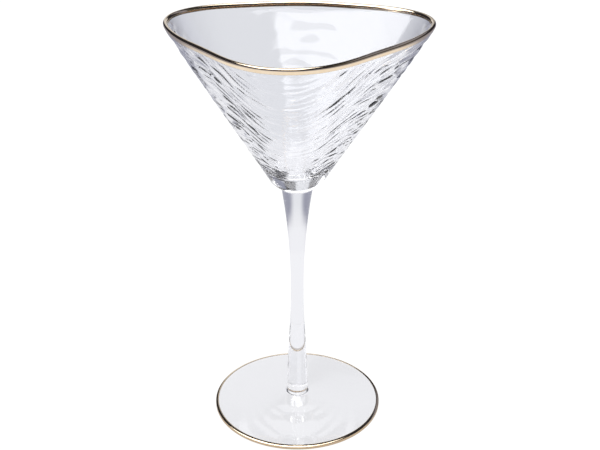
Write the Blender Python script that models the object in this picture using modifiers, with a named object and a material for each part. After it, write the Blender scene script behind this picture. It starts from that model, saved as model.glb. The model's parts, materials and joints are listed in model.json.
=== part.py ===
"""A martini glass: a rounded-triangle bowl, a drawn stem, a round foot, and a gold line on the rim and on the foot.

Run with: blender --background --python part.py
Metres, +Z up. The origin is the centre of the foot's flat underside. One corner of the rim points to -Y.
The three pieces of glass are fused on the real object. Here each is its own solid, with a seam's gap between them.
"""

import math

import bmesh
import bpy

# Driving dimensions.
HEIGHT = 0.2100
SEAM = 0.0003  # gap between pieces that touch
GOLD = 0.0004  # thickness of the gold, which is a fired film on the real glass

# Rim outline, seen from above: a circle that bulges at three corners. All terms are radii.
RIM_RADIUS = 0.0628
CORNER_BULGE = 0.00685  # every 120 degrees, out at the corners and in at the sides
LONG_BULGE = 0.00155  # every 90 degrees, which draws the front corner out further than the other two
SHARP_BULGE = 0.0011  # every 60 degrees, which tightens the corners
FRONT = math.radians(-90)  # where the front corner points

# Bowl.
CONE_FOOT_RADIUS = 0.0138  # outer wall where the cone meets the rounded base
CONE_FOOT_Z = 0.1332
BELLY = 0.0005  # how far the wall bows out halfway up
WALL_ACROSS = 0.0026  # wall thickness, measured level
BASE_ROUND = 0.0110  # radius of the rounded base
BASE_Z = 0.1290  # flat underside of the bowl, where the stem is fused on
FLOOR_Z = 0.1395  # inside bottom of the bowl
FLOOR_ROUND = 0.0090  # radius between the inside bottom and the wall
RIM_BAND_OUTSIDE = 0.0030  # depth of the gold line outside the lip
RIM_BAND_INSIDE = 0.0018  # and inside it

# Stem.
STEM_TOP_RADIUS = 0.0084
STEM_WAIST_RADIUS = 0.00335
STEM_WAIST_Z = 0.0700
STEM_BOTTOM_RADIUS = 0.0055
STEM_BOTTOM_Z = 0.0083
STEM_UPPER_CURVE = 2.1  # how late the stem swells above the waist

# Foot.
FOOT_RADIUS = 0.0453
FOOT_EDGE = 0.0018  # thickness at the edge, gold included
FOOT_CROWN = 0.0070  # height of the dome where the stem's fillet begins
FOOT_FILLET = 0.0010
FOOT_DOME_CURVE = 1.2
FOOT_BAND = 0.0014  # width of the gold line on top of the foot's edge
BAND_CLEARANCE = 0.0003  # the foot's gold stops this far above the table

# Facets.
BOWL_SIDES = 66
STEM_SIDES = 24
FOOT_SIDES = 60

GLASS = (0.90, 0.91, 0.94)
GOLD_COLOUR = (0.93, 0.70, 0.38)
COLLECTION = "martini_glass"


def lobe(angle):
    """How far the rim stands outside its mean circle at this angle."""
    turn = angle - FRONT
    return (
        CORNER_BULGE * math.cos(3 * turn)
        + LONG_BULGE * math.cos(4 * turn)
        + SHARP_BULGE * math.cos(6 * turn)
    )


def share(z):
    """How much of the rim's outline the bowl has at height z: none at the base, all of it at the rim."""
    return min(max((z - CONE_FOOT_Z) / (HEIGHT - CONE_FOOT_Z), 0.0), 1.0)


def outer_radius(z):
    """Mean radius of the bowl's outer wall."""
    t = share(z)
    return CONE_FOOT_RADIUS + (RIM_RADIUS - CONE_FOOT_RADIUS) * t + 4 * BELLY * t * (1 - t)


def inner_radius(z):
    """Mean radius of the bowl's inner wall."""
    return outer_radius(z) - WALL_ACROSS


def arc(centre_r, centre_z, radius, start_deg, end_deg, steps):
    """Points (r, z) on an arc, both ends included."""
    angles = [math.radians(start_deg + (end_deg - start_deg) * i / steps) for i in range(steps + 1)]
    return [(centre_r + radius * math.cos(a), centre_z + radius * math.sin(a)) for a in angles]


def heights(low, high, steps):
    """Heights from low to high, both ends included."""
    return [low + (high - low) * i / steps for i in range(steps + 1)]


def own_material(name, colour, roughness, metallic, transmission):
    material = bpy.data.materials.new(name)
    material.use_nodes = True
    shader = material.node_tree.nodes["Principled BSDF"]
    shader.inputs["Base Color"].default_value = (*colour, 1.0)
    shader.inputs["Roughness"].default_value = roughness
    shader.inputs["Metallic"].default_value = metallic
    shader.inputs["Transmission Weight"].default_value = transmission
    shader.inputs["IOR"].default_value = 1.5
    material.diffuse_color = (*colour, 1.0)
    return material


def glass_material(name):
    return own_material(name, GLASS, 0.02, 0.0, 0.9)


def gold_material(name):
    return own_material(name, GOLD_COLOUR, 0.12, 1.0, 0.0)


def add_object(name, mesh, material, collection, parent):
    mesh.materials.append(material)
    piece = bpy.data.objects.new(name, mesh)
    piece.parent = parent
    collection.objects.link(piece)
    return piece


def smooth(mesh, sharp_above_deg=35):
    mesh.shade_smooth()
    mesh.set_sharp_from_angle(angle=math.radians(sharp_above_deg))


def lobed_mesh(name, profile, closed):
    """A ring of rounded-triangle sections, one for each profile point (mean radius, z).

    A closed profile comes back to its first point. An open one starts and ends on the axis.
    """
    form = bmesh.new()
    rings = []
    for radius, z in profile:
        if radius == 0.0:
            rings.append([form.verts.new((0.0, 0.0, z))])
            continue
        ring = []
        for side in range(BOWL_SIDES):
            angle = 2 * math.pi * side / BOWL_SIDES
            reach = radius + lobe(angle) * share(z)
            ring.append(form.verts.new((reach * math.cos(angle), reach * math.sin(angle), z)))
        rings.append(ring)
    pairs = list(zip(rings, rings[1:]))
    if closed:
        pairs.append((rings[-1], rings[0]))
    for first, second in pairs:
        for side in range(BOWL_SIDES):
            after = (side + 1) % BOWL_SIDES
            if len(first) == 1:
                form.faces.new((first[0], second[side], second[after]))
            elif len(second) == 1:
                form.faces.new((first[after], first[side], second[0]))
            else:
                form.faces.new((first[after], first[side], second[side], second[after]))
    bmesh.ops.recalc_face_normals(form, faces=form.faces)
    mesh = bpy.data.meshes.new(name)
    form.to_mesh(mesh)
    form.free()
    smooth(mesh)
    return mesh


def turned_object(name, profile, closed, sides, material, collection, parent):
    """A profile of points (radius, z), from top to bottom on its outer side, turned about the Z axis."""
    mesh = bpy.data.meshes.new(name)
    last = len(profile) - 1
    edges = [(i, i + 1) for i in range(last)]
    if closed:
        edges.append((last, 0))
    mesh.from_pydata([(radius, 0.0, z) for radius, z in profile], edges, [])
    piece = add_object(name, mesh, material, collection, parent)
    turn = piece.modifiers.new("turn", "SCREW")
    turn.axis = "Z"
    turn.steps = sides
    turn.render_steps = sides
    turn.use_merge_vertices = True
    turn.merge_threshold = 0.00001
    turn.use_smooth_shade = True
    return piece


def bowl_profile():
    """From the middle of the underside, out and up the outer wall, over the lip, and down inside."""
    lean = math.degrees(math.atan((outer_radius(CONE_FOOT_Z + 0.001) - CONE_FOOT_RADIUS) / 0.001))
    centre_r = CONE_FOOT_RADIUS - BASE_ROUND * math.cos(math.radians(lean))
    centre_z = CONE_FOOT_Z + BASE_ROUND * math.sin(math.radians(lean))
    base_end = math.degrees(math.asin((BASE_Z - centre_z) / BASE_ROUND))
    step_in = GOLD + SEAM
    outside_step_z = HEIGHT - RIM_BAND_OUTSIDE - SEAM
    inside_step_z = HEIGHT - RIM_BAND_INSIDE - SEAM
    lip_z = HEIGHT - step_in

    profile = [(0.0, BASE_Z)]
    profile += arc(centre_r, centre_z, BASE_ROUND, base_end, -lean, 4)
    profile += [(outer_radius(z), z) for z in heights(CONE_FOOT_Z, outside_step_z, 6)[1:]]
    profile += [(outer_radius(outside_step_z) - step_in, outside_step_z)]
    profile += [(outer_radius(lip_z) - step_in, lip_z)]
    profile += [(inner_radius(lip_z) + step_in, lip_z)]
    profile += [(inner_radius(inside_step_z) + step_in, inside_step_z)]

    # The inside wall meets the inside bottom in an arc that is tangent to both.
    slope = math.radians(90 - lean)
    tangent = FLOOR_ROUND * math.tan(slope / 2)
    corner_r = inner_radius(FLOOR_Z)
    wall_z = FLOOR_Z + tangent * math.sin(slope)
    profile += [(inner_radius(z), z) for z in reversed(heights(wall_z, inside_step_z, 6)[1:])]
    profile += arc(corner_r - tangent, FLOOR_Z + FLOOR_ROUND, FLOOR_ROUND, math.degrees(slope) - 90, -90, 4)
    profile += [(0.0, FLOOR_Z)]
    return profile


def rim_gilding_profile():
    """A thin channel over the lip, round on top, from its lower outside edge up, over and back."""
    low_out = HEIGHT - RIM_BAND_OUTSIDE
    low_in = HEIGHT - RIM_BAND_INSIDE
    shoulder = HEIGHT - GOLD
    under = HEIGHT - GOLD
    chamfer = GOLD
    return [
        (outer_radius(low_out), low_out),
        (outer_radius(shoulder), shoulder),
        (outer_radius(HEIGHT) - chamfer, HEIGHT),
        (inner_radius(HEIGHT) + chamfer, HEIGHT),
        (inner_radius(shoulder), shoulder),
        (inner_radius(low_in), low_in),
        (inner_radius(low_in) + GOLD, low_in),
        (inner_radius(under) + GOLD, under),
        (outer_radius(under) - GOLD, under),
        (outer_radius(low_out) - GOLD, low_out),
    ]


def stem_radius(z):
    """Radius of the stem: thinnest at the waist, wide under the bowl, and a little wider at the foot."""
    if z >= STEM_WAIST_Z:
        rise = (z - STEM_WAIST_Z) / (BASE_Z - STEM_WAIST_Z)
        return STEM_WAIST_RADIUS + (STEM_TOP_RADIUS - STEM_WAIST_RADIUS) * rise**STEM_UPPER_CURVE
    drop = (STEM_WAIST_Z - z) / (STEM_WAIST_Z - STEM_BOTTOM_Z)
    ease = drop * drop * (3 - 2 * drop)
    return STEM_WAIST_RADIUS + (STEM_BOTTOM_RADIUS - STEM_WAIST_RADIUS) * ease


def stem_profile():
    top = BASE_Z - SEAM
    levels = heights(STEM_BOTTOM_Z, STEM_WAIST_Z, 6)[:-1] + heights(STEM_WAIST_Z, top, 9)
    side = [(stem_radius(z), z) for z in reversed(levels)]
    return [(0.0, top)] + side + [(0.0, STEM_BOTTOM_Z)]


def foot_height(radius):
    """Height of the foot's domed top at this radius, outside the fillet round the stem."""
    fillet_end = STEM_BOTTOM_RADIUS + FOOT_FILLET
    inward = (FOOT_RADIUS - radius) / (FOOT_RADIUS - fillet_end)
    return FOOT_EDGE + (FOOT_CROWN - FOOT_EDGE) * inward**FOOT_DOME_CURVE


def foot_profile():
    """From the middle of the top, down the fillet and the dome, round the edge, and in along the flat underside."""
    joint_z = STEM_BOTTOM_Z - SEAM
    fillet_end = STEM_BOTTOM_RADIUS + FOOT_FILLET
    step_r = FOOT_RADIUS - FOOT_BAND - SEAM
    edge_r = FOOT_RADIUS - GOLD - SEAM
    profile = [(0.0, joint_z)]
    profile += arc(fillet_end, joint_z, FOOT_FILLET, 180, 270, 3)
    profile += [(radius, foot_height(radius)) for radius in heights(fillet_end, step_r, 6)[1:]]
    profile += [(step_r, foot_height(step_r) - GOLD - SEAM)]
    profile += [(edge_r, FOOT_EDGE - GOLD - SEAM)]
    profile += [(edge_r, 0.0), (0.0, 0.0)]
    return profile


def foot_gilding_profile():
    """A thin angle round the foot's edge: on top of it and down its side, clear of the table."""
    inside_r = FOOT_RADIUS - FOOT_BAND
    inside_z = foot_height(inside_r)
    return [
        (inside_r, inside_z),
        (FOOT_RADIUS - GOLD, FOOT_EDGE),
        (FOOT_RADIUS, FOOT_EDGE - GOLD),
        (FOOT_RADIUS, BAND_CLEARANCE),
        (FOOT_RADIUS - GOLD, BAND_CLEARANCE),
        (FOOT_RADIUS - GOLD, FOOT_EDGE - GOLD),
        (inside_r, inside_z - GOLD),
    ]


def main():
    for old in list(bpy.data.objects):
        bpy.data.objects.remove(old, do_unlink=True)
    collection = bpy.data.collections.new(COLLECTION)
    bpy.context.scene.collection.children.link(collection)
    base = bpy.data.objects.new("glass_base", None)
    collection.objects.link(base)

    turned = [
        ("foot", foot_profile(), False, FOOT_SIDES, glass_material("foot_glass")),
        ("stem", stem_profile(), False, STEM_SIDES, glass_material("stem_glass")),
        ("foot_gilding", foot_gilding_profile(), True, FOOT_SIDES, gold_material("foot_gold")),
    ]
    for name, profile, closed, sides, material in turned:
        turned_object(name, profile, closed, sides, material, collection, base)

    lobed = [
        ("bowl", bowl_profile(), False, glass_material("bowl_glass")),
        ("rim_gilding", rim_gilding_profile(), True, gold_material("rim_gold")),
    ]
    for name, profile, closed, material in lobed:
        add_object(name, lobed_mesh(name, profile, closed), material, collection, base)


main()
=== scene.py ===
import json
import math

import bpy
import numpy as np
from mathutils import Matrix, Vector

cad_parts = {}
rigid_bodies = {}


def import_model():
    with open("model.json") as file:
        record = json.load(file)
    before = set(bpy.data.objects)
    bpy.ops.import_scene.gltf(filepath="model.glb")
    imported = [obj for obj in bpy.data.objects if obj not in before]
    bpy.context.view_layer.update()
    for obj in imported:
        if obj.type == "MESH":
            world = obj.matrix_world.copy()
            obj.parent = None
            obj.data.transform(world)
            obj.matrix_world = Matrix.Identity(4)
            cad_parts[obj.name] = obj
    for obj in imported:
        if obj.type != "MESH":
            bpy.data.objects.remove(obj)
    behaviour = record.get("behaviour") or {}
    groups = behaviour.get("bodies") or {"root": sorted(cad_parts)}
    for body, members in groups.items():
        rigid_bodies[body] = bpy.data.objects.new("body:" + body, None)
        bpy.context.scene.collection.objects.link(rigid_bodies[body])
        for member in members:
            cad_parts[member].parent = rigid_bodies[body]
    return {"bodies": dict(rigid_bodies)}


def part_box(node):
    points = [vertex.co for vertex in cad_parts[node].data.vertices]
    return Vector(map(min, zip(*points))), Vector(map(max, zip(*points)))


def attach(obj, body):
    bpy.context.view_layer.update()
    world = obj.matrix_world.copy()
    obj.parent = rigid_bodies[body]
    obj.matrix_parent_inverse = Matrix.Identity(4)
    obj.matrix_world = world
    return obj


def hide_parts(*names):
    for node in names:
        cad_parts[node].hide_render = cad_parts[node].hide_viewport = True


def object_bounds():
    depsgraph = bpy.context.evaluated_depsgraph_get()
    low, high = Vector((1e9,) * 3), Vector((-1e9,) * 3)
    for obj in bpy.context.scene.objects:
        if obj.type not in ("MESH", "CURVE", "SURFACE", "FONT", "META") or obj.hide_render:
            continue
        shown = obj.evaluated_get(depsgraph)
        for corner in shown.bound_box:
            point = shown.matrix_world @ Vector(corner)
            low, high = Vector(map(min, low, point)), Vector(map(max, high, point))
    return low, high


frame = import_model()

# ---------------------------------------------------------------- sizes read from the frame
CAD_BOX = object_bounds()
BODY = next(iter(frame["bodies"]))
BOWL_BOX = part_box("bowl")
STEM_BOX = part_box("stem")
FOOT_GOLD_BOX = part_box("foot_gilding")
RIM_GOLD_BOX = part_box("rim_gilding")

HEIGHT = CAD_BOX[1].z
BOWL_BASE_Z = (BOWL_BOX[0].z + STEM_BOX[1].z) / 2  # the seam between bowl and stem
STEM_BOTTOM_Z = STEM_BOX[0].z  # the seam between stem and foot
FOOT_RADIUS = FOOT_GOLD_BOX[1].x
FOOT_EDGE = FOOT_GOLD_BOX[1].z
RIM_BAND_OUTSIDE = RIM_GOLD_BOX[1].z - RIM_GOLD_BOX[0].z

# ---------------------------------------------------------------- the design's own sizes, in metres
RIM_RADIUS = 0.0628
CORNER_BULGE = 0.00685  # every 120 degrees
LONG_BULGE = 0.00155  # every 90 degrees
SHARP_BULGE = 0.0011  # every 60 degrees
FRONT = math.radians(-90)  # where the corner at the front stands, from +X

CONE_FOOT_RADIUS = 0.0138  # where the cone meets the rounded base
CONE_FOOT_Z = 0.1332
BELLY = 0.0005  # how far the wall bows out halfway up
WALL = 0.0022  # square to the wall
BASE_ROUND = 0.0110
INSIDE_BOTTOM_Z = 0.1395
INSIDE_BOTTOM_ROUND = 0.0090
INSIDE_BOTTOM_RINGS = (0.006, 0.003)  # radii of the rings of points on it
RIM_BAND_INSIDE = 0.0013  # depth of the gold line inside the lip
BAND_LEAST = 0.0004  # the gold goes at least this far down from the lip's round
BAND_WAVER = 0.05  # of the gold line's lower edge, as a share of its depth
WAVES_ROUND = (3, 5, 8, 13, 21, 34)
WAVE_TURN = 6.28  # a wave starts anywhere up to this angle
OUTSIDE_SEED = 3
INSIDE_SEED = 4
LIP_LEAN = math.radians(25)  # of the wall at the lip, which turns a little more upright
LIP_TURN = 0.0040  # height of the part that turns

STEM_WAIST_RADIUS = 0.00335
STEM_WAIST_Z = 0.0700
STEM_BOTTOM_RADIUS = 0.0056
STEM_UPPER_CURVE = 2.1
FOOT_CROWN = 0.0070  # height of the dome where the stem's fillet begins
FOOT_FILLET = 0.00025
FOOT_DOME_CURVE = 1.2
FOOT_BAND = 0.0015  # width of the gold line on top of the foot
UNDERSIDE_RINGS = (0.0, 0.015, 0.030)
FOOT_EDGE_ROUND = 0.0003  # at the underside
FOOT_ROLL = (0.0015, 0.00045)  # how far in and how far down the top rolls over to the edge

GOLD_PROUD = 0.00004  # how far the gold stands off the glass, and how far its back lies inside it

# Hammered relief on the outside of the bowl: low swellings that meet in soft grooves.
MARKS_ROUND = 22  # marks in one turn
MARK_STEP = 0.042  # height of a row of marks, as a share of the radius there
MARK_DEPTH = 0.028  # scale of the relief, as a share of the radius there
MARK_SHARPNESS = 6.0  # how narrow the grooves are
MARK_SIZES = (0.75, 1.35)  # from the flattest to the steepest mark
MARK_SHIFT = 0.9  # how far a mark may stand off its place, as a share of the spacing
MARK_DIP = 0.35  # how much the marks near the rim run down towards the front corner
LEAST_RADIUS = 0.6  # the rule for the marks takes no smaller radius, as a share of the cone's foot
CORNER_SHARE = 0.08  # depth of the relief at the three corners, as a share of its depth between them
CORNER_NARROW = 4  # a higher power makes the calm stretch at a corner narrower
BACK_SHARE = 0.15  # depth in the middle of the back side
BACK_FADE = (0.0, 0.6)  # sine of the angle from +X
MARK_FADE = (0.003, 0.011)  # the marks set in between these heights above the foot of the cone
RIM_FADE = 0.003  # and end within this height below the gold
SEED = 7

# Facets.
BOWL_SIDES = 360
BOWL_ROWS = 200  # on the outer wall
INSIDE_ROWS = 24
ROUND_SIDES = 200  # of the stem and the foot
FOOT_GOLD_SIDES = 360
ARC_STEPS = 14
BAND_STEPS = 5
STEM_STEPS = 120
DOME_STEPS = 40
EDGE_STEPS = 6  # of the foot's round at the underside
GOLD_SKIPS = 3  # the gold starts this many steps up that round
ROLL_STEPS = 14
FILLET_STEPS = 8
ON_AXIS = 1e-7  # a radius below this is on the axis
SAME_HEIGHT = 1e-6
LEVEL_FACE = 0.999  # a face is level where its normal's Z is above this

# ---------------------------------------------------------------- camera
CAMERA_DISTANCE = 0.4582  # level, from the stem's axis
CAMERA_HEIGHT = 0.3194
CAMERA_TURN = math.radians(3.9)  # round the glass, from looking along +Y
CAMERA_ASIDE = 0.0032  # radians that it looks past the axis
CAMERA_DIP = 0.4335  # radians below level
CAMERA_LENS = 58.92  # mm, for a 36 mm sensor
SENSOR = 36.0

# ---------------------------------------------------------------- light
# The studio is a dark room with a large softbox overhead on the camera's left. Under and behind the glass
# lies white paper that shines by itself, with light and shade painted into it: a painted pool of light round
# the foot, a bright painted strip behind the glass, painted shade on both sides of that strip and a painted
# shadow round the foot's edge. The camera itself sees the paper and the room as plain white; the rest is
# what shows in the glass and in the gold. Azimuths and angles are in degrees, and an azimuth is measured
# from the camera's side of the glass, positive to its right.
ROOM = (0.022, 0.022, 0.030)
SOFTBOX_AZIMUTH = 0
SOFTBOX_ALONG = (-0.38, 0.97)  # its back and front edge, level distances for 1 m of height above the glass
SOFTBOX_ACROSS = (-0.40, 1.50)  # its right and left edge, counted to the left
SOFTBOX_EDGE = 0.05  # softness
SOFTBOX_LIGHT = (3.0, 3.0, 3.05)
BEHIND = 184  # straight away from the camera
STRIP_HALF_ANGLE = 18  # of the painted bright strip on the paper behind the glass
STRIP_SOFT = 24  # of its edges
SHADE_END = 70  # painted shade lies on the paper beside that strip, up to this angle
SHADE_DISTANCE = 0.46  # where the painted shade beside the strip starts, from the stem's axis
SHADE_SOFT = 0.20  # of the painted shade's near edge
# Painted shade: the paper's dim light away from the bright strip and the foot.
PAINTED_PAPER_SHADE = (0.24, 0.245, 0.32)
CONTACT_WIDTH = 0.004  # of the painted shadow round the foot's edge
CONTACT_INSIDE = 0.0006  # of it that lies under the edge
CONTACT_SOFT = 0.001
# Painted shadow: the colour of the dark ring round the foot's edge.
PAINTED_CONTACT_SHADOW = (0.50, 0.46, 0.44)
PAPER_UNDER = (0.94, 0.94, 0.96)  # painted light under the foot, brighter than round it
PAPER_NEAR = (0.84, 0.84, 0.865)  # a painted pool of light round the foot
PAPER_FALL = (0.20, 0.40)  # and that painted light fades between these distances from the stem's axis
PAPER_FAR = (0.74, 0.75, 0.785)  # beyond, the painted light on the strip
PAPER_SIZE = 8.0
PAPER_DROP = 0.0002  # the paper lies this far below the foot
PAPER_COLOUR = (0.06, 0.06, 0.06)  # it shines by itself, so it scatters little
PANELS = (  # centre, half width, lowest and highest elevation, softness, light
    (192, 10, -80, 45, 5, (0.58, 0.59, 0.62)),  # the backdrop
    (184, 15, -80, 12, 5, PAPER_FAR),  # its foot, where the paper curves up
    (105, 25, 5, 40, 20, (0.08, 0.08, 0.07)),  # a weak reflector on the right
    (135, 30, 22, 37, 4, (0.24, 0.25, 0.33)),  # grey wall on the right
)

# ---------------------------------------------------------------- finishes
# Each noise is its scale and its detail.
GLASS_INDEX = 1.5
GLASS_NOISE = (40.0, 3.0)
TINT = (0.975, 0.978, 0.99)
TINT_CHANGE = 0.012  # how much clearer the glass is in its clearest streaks
GLASS_ROUGHNESS = (0.0, 0.02)
ROUGH_STREAKS = (0.45, 0.75)  # the roughness rises between these values of the noise
RIPPLE = 0.15  # of the stem and the foot
RIPPLE_HEIGHT = 0.0002
RIPPLE_NOISE = (120.0, 1.0)
GOLD_NOISE = (180.0, 4.0)
GOLD_TONES = ((0.93, 0.74, 0.50), (0.99, 0.84, 0.64))
GOLD_TONE_PLACES = (0.30, 0.70)
GOLD_ROUGHNESS = (0.05, 0.16)
GOLD_RIPPLE = 0.25
GOLD_RIPPLE_HEIGHT = 0.0001


# ---------------------------------------------------------------- shapes
def lobe(angle):
    """How far the rim stands outside its mean circle."""
    turn = angle - FRONT
    return (
        CORNER_BULGE * np.cos(3 * turn)
        + LONG_BULGE * np.cos(4 * turn)
        + SHARP_BULGE * np.cos(6 * turn)
    )


def share(z):
    """How much of the rim's outline the bowl has at height z."""
    return np.clip((z - CONE_FOOT_Z) / (HEIGHT - CONE_FOOT_Z), 0.0, 1.0)


def outer_radius(z):
    """The outer wall's mean radius."""
    t = share(z)
    return CONE_FOOT_RADIUS + (RIM_RADIUS - CONE_FOOT_RADIUS) * t + 4 * BELLY * t * (1 - t)


SHORT_RISE = 0.001
LEAN = math.atan((outer_radius(CONE_FOOT_Z + SHORT_RISE) - CONE_FOOT_RADIUS) / SHORT_RISE)  # from upright
WALL_ACROSS = WALL / math.cos(LEAN)


def inner_radius(z):
    return outer_radius(z) - WALL_ACROSS


def arc(centre_r, centre_z, radius, start, end, steps):
    """Points (r, z) on an arc between two angles in radians, both ends included."""
    angles = np.linspace(start, end, steps + 1)
    return [(centre_r + radius * math.cos(a), centre_z + radius * math.sin(a)) for a in angles]


def between(low, high, steps):
    """Even steps from low to high, both ends included."""
    return list(np.linspace(low, high, steps + 1))


LIP_ROUND = WALL / 2
LIP_Z = HEIGHT - LIP_ROUND
LIP_R = RIM_RADIUS - LIP_ROUND


def lip_arc(offset, start, end, steps):
    """Part of the round lip, moved off the glass by offset."""
    return arc(LIP_R, LIP_Z, LIP_ROUND + offset, start, end, steps)


OUT_SIDE = -LIP_LEAN  # where the lip's round meets the outer wall
IN_SIDE = math.pi - LIP_LEAN  # and the inner wall
OUT_TOP, IN_TOP = lip_arc(0, OUT_SIDE, IN_SIDE, 1)


def wall_radius(z, top, mean_radius):
    """The wall's radius at z. Near the top it turns more upright, to run smoothly into the lip's round."""
    top_r, top_z = top
    bend = (math.tan(LIP_LEAN) - math.tan(LEAN)) / (2 * LIP_TURN)
    turned = bend * np.maximum(0.0, z - (top_z - LIP_TURN)) ** 2
    shift = top_r - mean_radius(top_z) - bend * LIP_TURN**2
    return mean_radius(z) + turned + shift * share(z)


def outer_wall(z):
    return wall_radius(z, OUT_TOP, outer_radius)


def inner_wall(z):
    return wall_radius(z, IN_TOP, inner_radius)


def bowl_profile():
    """(r, z) from the middle of the underside out and up the outer wall, over the lip and down inside."""
    centre_r = CONE_FOOT_RADIUS - BASE_ROUND * math.cos(LEAN)
    centre_z = CONE_FOOT_Z + BASE_ROUND * math.sin(LEAN)
    base_angle = math.asin((BOWL_BASE_Z - centre_z) / BASE_ROUND)
    base = arc(centre_r, centre_z, BASE_ROUND, base_angle, -LEAN, ARC_STEPS)
    outside = [(outer_wall(z), z) for z in between(CONE_FOOT_Z, OUT_TOP[1], BOWL_ROWS)[1:]]
    lip = lip_arc(0, OUT_SIDE, IN_SIDE, ARC_STEPS)[1:]
    slope = math.pi / 2 - LEAN
    tangent = INSIDE_BOTTOM_ROUND * math.tan(slope / 2)
    corner_r = inner_radius(INSIDE_BOTTOM_Z)
    wall_z = INSIDE_BOTTOM_Z + tangent * math.sin(slope)
    inside = [(inner_wall(z), z) for z in reversed(between(wall_z, IN_TOP[1], INSIDE_ROWS)[:-1])]
    floor_centre = (corner_r - tangent, INSIDE_BOTTOM_Z + INSIDE_BOTTOM_ROUND)
    floor = arc(*floor_centre, INSIDE_BOTTOM_ROUND, slope - math.pi / 2, -math.pi / 2, ARC_STEPS)[1:]
    middle = [(r, INSIDE_BOTTOM_Z) for r in INSIDE_BOTTOM_RINGS]
    return [(0.0, BOWL_BASE_Z)] + base + outside + lip + inside + floor + middle + [(0.0, INSIDE_BOTTOM_Z)]


def stem_radius(z, top_radius):
    if z >= STEM_WAIST_Z:
        rise = (z - STEM_WAIST_Z) / (BOWL_BASE_Z - STEM_WAIST_Z)
        return STEM_WAIST_RADIUS + (top_radius - STEM_WAIST_RADIUS) * rise**STEM_UPPER_CURVE
    drop = (STEM_WAIST_Z - z) / (STEM_WAIST_Z - STEM_BOTTOM_Z)
    ease = drop * drop * (3 - 2 * drop)
    return STEM_WAIST_RADIUS + (STEM_BOTTOM_RADIUS - STEM_WAIST_RADIUS) * ease


def stem_profile():
    """The stem from its bottom seam up. At the top it is as wide as the flat of the bowl's base."""
    top_radius = bowl_profile()[1][0]
    levels = between(STEM_BOTTOM_Z, BOWL_BASE_Z, STEM_STEPS)
    side = [(stem_radius(z, top_radius), z) for z in levels]
    return [(0.0, STEM_BOTTOM_Z)] + side + [(0.0, BOWL_BASE_Z)]


def foot_height(radius):
    inward = (FOOT_RADIUS - radius) / (FOOT_RADIUS - STEM_BOTTOM_RADIUS - FOOT_FILLET)
    return FOOT_EDGE + (FOOT_CROWN - FOOT_EDGE) * inward**FOOT_DOME_CURVE


def foot_edge():
    """The foot's edge, from the underside round and up to where the top starts to roll over."""
    inward, down = FOOT_ROLL
    low = arc(FOOT_RADIUS - FOOT_EDGE_ROUND, FOOT_EDGE_ROUND, FOOT_EDGE_ROUND, -math.pi / 2, 0, EDGE_STEPS)
    roll = []
    for turn in between(0, math.pi / 2, ROLL_STEPS):
        r = FOOT_RADIUS - inward * (1 - math.cos(turn))
        roll.append((r, foot_height(r) - down * (1 - math.sin(turn))))
    return low + roll


def foot_profile():
    """From the middle of the underside out, round the edge, in over the dome and up the fillet."""
    fillet_r = STEM_BOTTOM_RADIUS + FOOT_FILLET
    dome = [(r, foot_height(r)) for r in between(FOOT_RADIUS - FOOT_ROLL[0], fillet_r, DOME_STEPS)[1:]]
    fillet = arc(fillet_r, STEM_BOTTOM_Z, FOOT_FILLET, 1.5 * math.pi, math.pi, FILLET_STEPS)
    under = [(r, 0.0) for r in UNDERSIDE_RINGS]
    return under + foot_edge() + dome + fillet + [(0.0, STEM_BOTTOM_Z)]


def moved_off(profile, offset):
    """The profile moved square to itself, to the right of its direction of travel."""
    along = np.gradient(np.array(profile), axis=0)
    along /= np.linalg.norm(along, axis=1, keepdims=True)
    right = np.stack([along[:, 1], -along[:, 0]], 1)
    return [tuple(point) for point in np.array(profile) + right * offset]


# ---------------------------------------------------------------- meshes
def mesh_object(name, points, faces):
    mesh = bpy.data.meshes.new(name)
    mesh.from_pydata(points.tolist(), [], faces)
    mesh.validate()
    mesh.shade_smooth()
    piece = bpy.data.objects.new(name, mesh)
    bpy.context.scene.collection.objects.link(piece)
    return piece


def loft(name, grid, closed):
    """A surface through rows of points, each a full turn about the axis, or one point where on the axis."""
    rows, sides = grid.shape[:2]
    points = []
    starts = []
    for row in grid:
        single = np.abs(row[:, :2]).max() < ON_AXIS
        starts.append((len(points), single))
        points.extend(row[:1] if single else row)
    faces = []
    pairs = [(i, i + 1) for i in range(rows - 1)] + ([(rows - 1, 0)] if closed else [])
    for low, high in pairs:
        (a, a_single), (b, b_single) = starts[low], starts[high]
        for s in range(sides):
            t = (s + 1) % sides
            if a_single:
                faces.append((a, b + t, b + s))
            elif b_single:
                faces.append((a + s, a + t, b))
            else:
                faces.append((a + s, a + t, b + t, b + s))
    return mesh_object(name, np.array(points), faces)


def turn_grid(profile, sides, lobed):
    """A profile of (r, z) swept round the axis, with the rim's outline if lobed."""
    angle = 2 * np.pi * np.arange(sides) / sides
    radius, z = np.array(profile).T
    reach = radius[:, None] + (lobe(angle)[None, :] * share(z)[:, None] if lobed else 0.0)
    reach = np.where(radius[:, None] < ON_AXIS, 0.0, reach)
    return np.stack([reach * np.cos(angle), reach * np.sin(angle), np.repeat(z[:, None], sides, 1)], -1)


def grid_normals(grid):
    """Unit normals of a grid of points, pointing to the right of the profile's direction of travel."""
    along = np.gradient(grid, axis=0)
    around = (np.roll(grid, -1, 1) - np.roll(grid, 1, 1)) / 2
    normal = np.cross(around, along)
    return normal / np.maximum(np.linalg.norm(normal, axis=-1, keepdims=True), 1e-12)


def smoothstep(low, high, value):
    """0 up to low, 1 from high on, and smooth between."""
    t = np.clip((value - low) / (high - low), 0.0, 1.0)
    return t * t * (3 - 2 * t)


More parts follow.
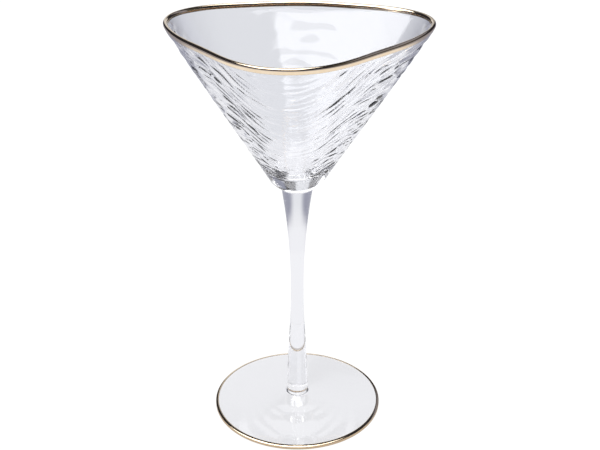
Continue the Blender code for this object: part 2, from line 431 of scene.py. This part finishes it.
def hammer_marks(angle, radius):
    """The relief's height, before its scale: about 0 on a mark and below 0 in the grooves between marks.

    The marks stand in staggered rows, each a little off its place, and shrink with the radius.
    """
    rng = np.random.default_rng(SEED)
    row = np.log(radius / CONE_FOOT_RADIUS) / MARK_STEP
    height_share = (radius - CONE_FOOT_RADIUS) / (RIM_RADIUS - CONE_FOOT_RADIUS)
    row = row + MARK_DIP * height_share / MARK_STEP * np.cos(angle - FRONT)
    column = angle / (2 * np.pi) * MARKS_ROUND
    first = int(np.floor(row.min())) - 2
    last = int(np.ceil(row.max())) + 2
    jitter = rng.uniform(-0.5, 0.5, (last - first + 1, MARKS_ROUND, 2))
    size = rng.uniform(*MARK_SIZES, (last - first + 1, MARKS_ROUND))
    base_row = np.floor(row).astype(int)
    base_column = np.floor(column).astype(int)
    total = np.zeros_like(row)
    for up in (-1, 0, 1, 2):
        for side in (-1, 0, 1, 2):
            r = base_row + up
            c = base_column + side
            i = np.clip(r - first, 0, last - first)
            j = c % MARKS_ROUND
            stagger = 0.5 * (r % 2)
            centre_row = r + jitter[i, j, 0] * MARK_SHIFT
            centre_column = c + stagger + jitter[i, j, 1] * MARK_SHIFT
            far = ((row - centre_row) ** 2 + (column - centre_column) ** 2) * size[i, j]
            total += np.exp(-far * MARK_SHARPNESS)
    return np.log(total + 1e-9) / MARK_SHARPNESS


def relief_strength(angle, z):
    """How strong the marks are, from 0 to 1: less at the base, the gold, the corners and the back."""
    gold_edge = HEIGHT - RIM_BAND_OUTSIDE
    fade = smoothstep(CONE_FOOT_Z + MARK_FADE[0], CONE_FOOT_Z + MARK_FADE[1], z)
    fade = fade * (1 - smoothstep(gold_edge - RIM_FADE, gold_edge, z))
    corner = (0.5 + 0.5 * np.cos(3 * (angle - FRONT))) ** CORNER_NARROW
    back = smoothstep(*BACK_FADE, np.sin(angle))
    return fade * (1 - (1 - CORNER_SHARE) * corner) * (1 - (1 - BACK_SHARE) * back)


def bowl_grid():
    """The bowl's surface, with the relief on the rows of its outer wall."""
    grid = turn_grid(bowl_profile(), BOWL_SIDES, lobed=True)
    z = grid[..., 2]
    last_base_row = ARC_STEPS + 1
    rows = np.arange(grid.shape[0])[:, None]
    outside = (rows > last_base_row) & (rows <= last_base_row + BOWL_ROWS)
    angle = 2 * np.pi * np.arange(BOWL_SIDES)[None, :] / BOWL_SIDES + 0 * z
    radius = np.hypot(grid[..., 0], grid[..., 1])
    relief = hammer_marks(angle, np.maximum(radius, CONE_FOOT_RADIUS * LEAST_RADIUS))
    height = relief * MARK_DEPTH * relief_strength(angle, z) * radius * outside
    return grid + grid_normals(grid) * height[..., None]


def band_edge(base, seed):
    """The depth of a painted line round the rim: even, with a slight waver."""
    rng = np.random.default_rng(seed)
    angle = 2 * np.pi * np.arange(BOWL_SIDES) / BOWL_SIDES
    waver = sum(rng.normal() / k * np.cos(k * angle + rng.uniform(0, WAVE_TURN)) for k in WAVES_ROUND)
    return base * (1 + BAND_WAVER * waver)


def rim_gold_grid():
    """A thin closed skin over the lip: up outside, over and down inside, then back just under it."""
    out_depth = band_edge(RIM_BAND_OUTSIDE, OUTSIDE_SEED) - (HEIGHT - OUT_TOP[1])
    in_depth = band_edge(RIM_BAND_INSIDE, INSIDE_SEED) - (HEIGHT - IN_TOP[1])
    angle = 2 * np.pi * np.arange(BOWL_SIDES) / BOWL_SIDES
    rows = []

    def add_row(radius, z):
        reach = radius + lobe(angle) * share(z)
        rows.append(np.stack([reach * np.cos(angle), reach * np.sin(angle), z + 0 * angle], -1))

    def add_skin(offset):
        shift_r, shift_z = offset * math.cos(LIP_LEAN), offset * math.sin(LIP_LEAN)
        for step in between(1, 0, BAND_STEPS)[:-1]:
            z = OUT_TOP[1] - np.maximum(out_depth, BAND_LEAST) * step
            add_row(outer_wall(z) + shift_r, z - shift_z)
        for r, z in lip_arc(offset, OUT_SIDE, IN_SIDE, ARC_STEPS):
            add_row(r, z)
        for step in between(0, 1, BAND_STEPS)[1:]:
            z = IN_TOP[1] - np.maximum(in_depth, BAND_LEAST) * step
            add_row(inner_wall(z) - shift_r, z + shift_z)

    add_skin(GOLD_PROUD)
    face_rows = len(rows)
    add_skin(-GOLD_PROUD)
    return np.array(rows[:face_rows] + rows[face_rows:][::-1])


def foot_gold_profile():
    """A thin closed skin round the foot's edge, from just above the table up, then back inside it."""
    above_table = foot_edge()[GOLD_SKIPS:]
    edge = [point for point in above_table if point[0] >= FOOT_RADIUS - FOOT_BAND]
    return moved_off(edge, GOLD_PROUD) + moved_off(edge, -GOLD_PROUD)[::-1]


# ---------------------------------------------------------------- materials
def new_material(name):
    material = bpy.data.materials.new(name)
    material.use_nodes = True
    tree = material.node_tree
    return material, tree, tree.nodes["Principled BSDF"]


def link(tree, source, target):
    tree.links.new(source, target)


def noise(tree, scale, detail):
    """Cloudy noise from 0 to 1 that stays with the object."""
    place = tree.nodes.new("ShaderNodeTexCoord")
    cloud = tree.nodes.new("ShaderNodeTexNoise")
    cloud.inputs["Scale"].default_value = scale
    cloud.inputs["Detail"].default_value = detail
    link(tree, place.outputs["Object"], cloud.inputs["Vector"])
    return cloud.outputs["Fac"]


def uneven_roughness(tree, shader, cloud, cloud_range, roughness):
    """Roughness that follows the noise."""
    rough = tree.nodes.new("ShaderNodeMapRange")
    rough.inputs["From Min"].default_value = cloud_range[0]
    rough.inputs["From Max"].default_value = cloud_range[1]
    rough.inputs["To Min"].default_value = roughness[0]
    rough.inputs["To Max"].default_value = roughness[1]
    link(tree, cloud, rough.inputs["Value"])
    link(tree, rough.outputs["Result"], shader.inputs["Roughness"])


def ripples(tree, shader, cloud, strength, height):
    """Fine unevenness of the surface."""
    bump = tree.nodes.new("ShaderNodeBump")
    bump.inputs["Strength"].default_value = strength
    bump.inputs["Distance"].default_value = height
    link(tree, cloud, bump.inputs["Height"])
    link(tree, bump.outputs["Normal"], shader.inputs["Normal"])


def glass(name, ripple):
    """Clear glass, with faint streaks in its tint and roughness, and drawing marks if ripple is above 0."""
    material, tree, shader = new_material(name)
    shader.inputs["Metallic"].default_value = 0.0
    shader.inputs["IOR"].default_value = GLASS_INDEX
    shader.inputs["Transmission Weight"].default_value = 1.0
    cloud = noise(tree, *GLASS_NOISE)
    clearest = tuple(min(1.0, part + TINT_CHANGE) for part in TINT)
    link(tree, blend_colour(tree, cloud, TINT, clearest), shader.inputs["Base Color"])
    uneven_roughness(tree, shader, cloud, ROUGH_STREAKS, GLASS_ROUGHNESS)
    if ripple:
        ripples(tree, shader, noise(tree, *RIPPLE_NOISE), ripple, RIPPLE_HEIGHT)
    return material


def fired_gold(name):
    """Polished fired gold, slightly uneven in tone, roughness and surface."""
    material, tree, shader = new_material(name)
    shader.inputs["Metallic"].default_value = 1.0
    cloud = noise(tree, *GOLD_NOISE)
    tone = tree.nodes.new("ShaderNodeValToRGB")
    for element, place, colour in zip(tone.color_ramp.elements, GOLD_TONE_PLACES, GOLD_TONES):
        element.position = place
        element.color = (*colour, 1.0)
    link(tree, cloud, tone.inputs["Fac"])
    link(tree, tone.outputs["Color"], shader.inputs["Base Color"])
    uneven_roughness(tree, shader, cloud, (0.0, 1.0), GOLD_ROUGHNESS)
    ripples(tree, shader, cloud, GOLD_RIPPLE, GOLD_RIPPLE_HEIGHT)
    return material


def fused_seam():
    """For the flat faces where two pieces of glass are fused: nothing shows there."""
    material, _, shader = new_material("fused_seam")
    shader.inputs["Alpha"].default_value = 0.0
    shader.inputs["Roughness"].default_value = 1.0
    return material


def math_node(tree, operation, first, second=None):
    """One step of arithmetic; each value is a number or a socket."""
    node = tree.nodes.new("ShaderNodeMath")
    node.operation = operation
    for socket, value in zip(node.inputs, (first, second)):
        if isinstance(value, (int, float)):
            socket.default_value = value
        elif value is not None:
            link(tree, value, socket)
    return node.outputs["Value"]


def window(tree, value, low, high, soft):
    """1 between low and high, fading to 0 over soft on both sides."""
    off = math_node(tree, "ABSOLUTE", math_node(tree, "SUBTRACT", value, (low + high) / 2))
    edge = tree.nodes.new("ShaderNodeMapRange")
    edge.interpolation_type = "SMOOTHSTEP"
    edge.inputs["From Min"].default_value = (high - low) / 2 + soft / 2
    edge.inputs["From Max"].default_value = (high - low) / 2 - soft / 2
    link(tree, off, edge.inputs["Value"])
    return edge.outputs["Result"]


def blend_colour(tree, factor, first, second):
    """The first colour where factor is 0, the second where it is 1. Each is three numbers or a socket."""
    mix = tree.nodes.new("ShaderNodeMix")
    mix.data_type = "RGBA"
    link(tree, factor, mix.inputs["Factor"])
    for socket, colour in (("A", first), ("B", second)):
        if isinstance(colour, tuple):
            mix.inputs[socket].default_value = (*colour, 1.0)
        else:
            link(tree, colour, mix.inputs[socket])
    return mix.outputs["Result"]


def white_to_camera(tree, colour):
    """Plain white where the camera looks at it directly; what the glass and the gold see stays as it is."""
    path = tree.nodes.new("ShaderNodeLightPath")
    return blend_colour(tree, path.outputs["Is Camera Ray"], colour, (1.0, 1.0, 1.0))


def flat_direction(tree, x, y, azimuth):
    """How far a direction goes towards an azimuth and how far to its right, level."""
    turn = math.radians(azimuth)
    along = math_node(
        tree, "ADD",
        math_node(tree, "MULTIPLY", x, math.sin(turn)),
        math_node(tree, "MULTIPLY", y, -math.cos(turn)))
    right = math_node(
        tree, "ADD",
        math_node(tree, "MULTIPLY", x, math.cos(turn)),
        math_node(tree, "MULTIPLY", y, math.sin(turn)))
    return along, right


def paper_material():
    """White paper that shines by itself, with painted light: brightest at the foot, a bright strip behind
    the glass, painted shade beside that strip and a painted shadow round the foot's edge.
    """
    material, tree, shader = new_material("white_paper")
    shader.inputs["Base Color"].default_value = (*PAPER_COLOUR, 1.0)
    shader.inputs["Roughness"].default_value = 1.0
    shader.inputs["Specular IOR Level"].default_value = 0.0
    shader.inputs["Emission Strength"].default_value = 1.0
    place = tree.nodes.new("ShaderNodeTexCoord")
    split = tree.nodes.new("ShaderNodeSeparateXYZ")
    link(tree, place.outputs["Object"], split.inputs["Vector"])
    length = tree.nodes.new("ShaderNodeVectorMath")
    length.operation = "LENGTH"
    link(tree, place.outputs["Object"], length.inputs[0])
    distance = length.outputs["Value"]
    along, right = flat_direction(tree, split.outputs["X"], split.outputs["Y"], BEHIND)
    side = math_node(tree, "DEGREES", math_node(tree, "ARCTAN2", math_node(tree, "ABSOLUTE", right), along))

    def disc(radius, soft):
        return window(tree, distance, -radius, radius, soft)

    # A bright painted strip behind the glass, painted shade elsewhere.
    strip = window(tree, side, -STRIP_HALF_ANGLE, STRIP_HALF_ANGLE, STRIP_SOFT)
    light = blend_colour(tree, strip, PAINTED_PAPER_SHADE, PAPER_FAR)
    # A painted pool of light round the foot, fading outwards.
    light = blend_colour(tree, disc(PAPER_FALL[1], PAPER_FALL[1] - PAPER_FALL[0]), light, PAPER_NEAR)
    # Painted shade beside the strip, beyond a distance from the stem's axis.
    beyond = math_node(tree, "SUBTRACT", 1.0, disc(SHADE_DISTANCE, SHADE_SOFT))
    beside = window(tree, side, STRIP_HALF_ANGLE, SHADE_END, STRIP_SOFT)
    light = blend_colour(tree, math_node(tree, "MULTIPLY", beside, beyond), light, PAINTED_PAPER_SHADE)
    # A brighter painted patch under the foot.
    light = blend_colour(tree, disc(FOOT_RADIUS, CONTACT_SOFT), light, PAPER_UNDER)
    # A painted shadow in a ring round the foot's edge.
    contact = window(tree, distance, FOOT_RADIUS - CONTACT_INSIDE, FOOT_RADIUS + CONTACT_WIDTH, CONTACT_SOFT)
    light = blend_colour(tree, contact, light, PAINTED_CONTACT_SHADOW)
    link(tree, white_to_camera(tree, light), shader.inputs["Emission Color"])
    return material


# ---------------------------------------------------------------- pieces
def finish_piece(piece, material, node):
    piece.data.materials.append(material)
    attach(piece, BODY)
    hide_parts(node)


def hide_seams(piece, seam, levels):
    """Gives the flat fused faces at these heights the seam's material."""
    piece.data.materials.append(seam)
    for face in piece.data.polygons:
        level = abs(face.normal.z) > LEVEL_FACE
        if level and any(abs(face.center.z - z) < SAME_HEIGHT for z in levels):
            face.material_index = 1


def make_bowl(seam):
    bowl = loft("bowl_visual", bowl_grid(), False)
    finish_piece(bowl, glass("hammered_glass", 0.0), "bowl")
    hide_seams(bowl, seam, [BOWL_BASE_Z])


def make_stem(seam):
    stem = loft("stem_visual", turn_grid(stem_profile(), ROUND_SIDES, False), False)
    finish_piece(stem, glass("stem_clear_glass", RIPPLE), "stem")
    hide_seams(stem, seam, [BOWL_BASE_Z, STEM_BOTTOM_Z])


def make_foot(seam):
    foot = loft("foot_visual", turn_grid(foot_profile(), ROUND_SIDES, False), False)
    finish_piece(foot, glass("foot_clear_glass", RIPPLE), "foot")
    hide_seams(foot, seam, [STEM_BOTTOM_Z])


def make_rim_gold():
    line = loft("rim_gold_line", rim_gold_grid(), True)
    finish_piece(line, fired_gold("rim_fired_gold"), "rim_gilding")


def make_foot_gold():
    line = loft("foot_gold_line", turn_grid(foot_gold_profile(), FOOT_GOLD_SIDES, False), True)
    finish_piece(line, fired_gold("foot_fired_gold"), "foot_gilding")


# ---------------------------------------------------------------- table, light and camera
def make_table():
    bpy.ops.mesh.primitive_plane_add(size=PAPER_SIZE, location=(0, 0, -PAPER_DROP))
    table = bpy.context.object
    table.name = "white_table"
    table.data.materials.append(paper_material())


def softbox_window(tree, x, y, z):
    """1 where a direction meets the softbox, a level rectangle overhead."""
    height = math_node(tree, "MAXIMUM", z, 0.001)
    along, right = flat_direction(tree, x, y, SOFTBOX_AZIMUTH)
    left_edge, right_edge = -SOFTBOX_ACROSS[1], -SOFTBOX_ACROSS[0]
    return math_node(
        tree, "MULTIPLY",
        window(tree, math_node(tree, "DIVIDE", along, height), *SOFTBOX_ALONG, SOFTBOX_EDGE),
        window(tree, math_node(tree, "DIVIDE", right, height), left_edge, right_edge, SOFTBOX_EDGE))


def studio_world():
    """The dark room with the softbox and the upright panels in it."""
    world = bpy.data.worlds.new("studio")
    bpy.context.scene.world = world
    world.use_nodes = True
    tree = world.node_tree
    place = tree.nodes.new("ShaderNodeTexCoord")
    split = tree.nodes.new("ShaderNodeSeparateXYZ")
    link(tree, place.outputs["Generated"], split.inputs["Vector"])
    x, y, z = (split.outputs[axis] for axis in "XYZ")
    elevation = math_node(tree, "DEGREES", math_node(tree, "ARCSINE", z))
    colour = blend_colour(tree, softbox_window(tree, x, y, z), ROOM, SOFTBOX_LIGHT)
    for centre, half_width, low, high, soft, light in PANELS:
        along, right = flat_direction(tree, x, y, centre)
        azimuth = math_node(tree, "DEGREES", math_node(tree, "ARCTAN2", right, along))
        panel = math_node(
            tree, "MULTIPLY",
            window(tree, azimuth, -half_width, half_width, soft),
            window(tree, elevation, low, high, soft))
        colour = blend_colour(tree, panel, colour, light)
    background = tree.nodes["Background"]
    link(tree, white_to_camera(tree, colour), background.inputs["Color"])
    background.inputs["Strength"].default_value = 1.0


def make_camera():
    data = bpy.data.cameras.new("camera")
    data.lens = CAMERA_LENS
    data.sensor_width = SENSOR
    data.clip_start = 0.01
    camera = bpy.data.objects.new("camera", data)
    camera.location = (
        CAMERA_DISTANCE * math.sin(CAMERA_TURN),
        -CAMERA_DISTANCE * math.cos(CAMERA_TURN),
        CAMERA_HEIGHT,
    )
    camera.rotation_euler = (math.pi / 2 - CAMERA_DIP, 0, CAMERA_TURN - CAMERA_ASIDE)
    bpy.context.scene.collection.objects.link(camera)
    bpy.context.scene.camera = camera


def set_light_paths(scene):
    """Enough bounces for light to pass through every wall of the glass."""
    scene.view_settings.view_transform = "Standard"
    scene.cycles.max_bounces = 24
    scene.cycles.transmission_bounces = 24
    scene.cycles.glossy_bounces = 12
    scene.cycles.transparent_max_bounces = 24
    scene.cycles.caustics_reflective = False
    scene.cycles.caustics_refractive = False


seam_finish = fused_seam()
make_bowl(seam_finish)
make_stem(seam_finish)
make_foot(seam_finish)
make_rim_gold()
make_foot_gold()
make_table()
studio_world()
make_camera()
set_light_paths(bpy.context.scene)
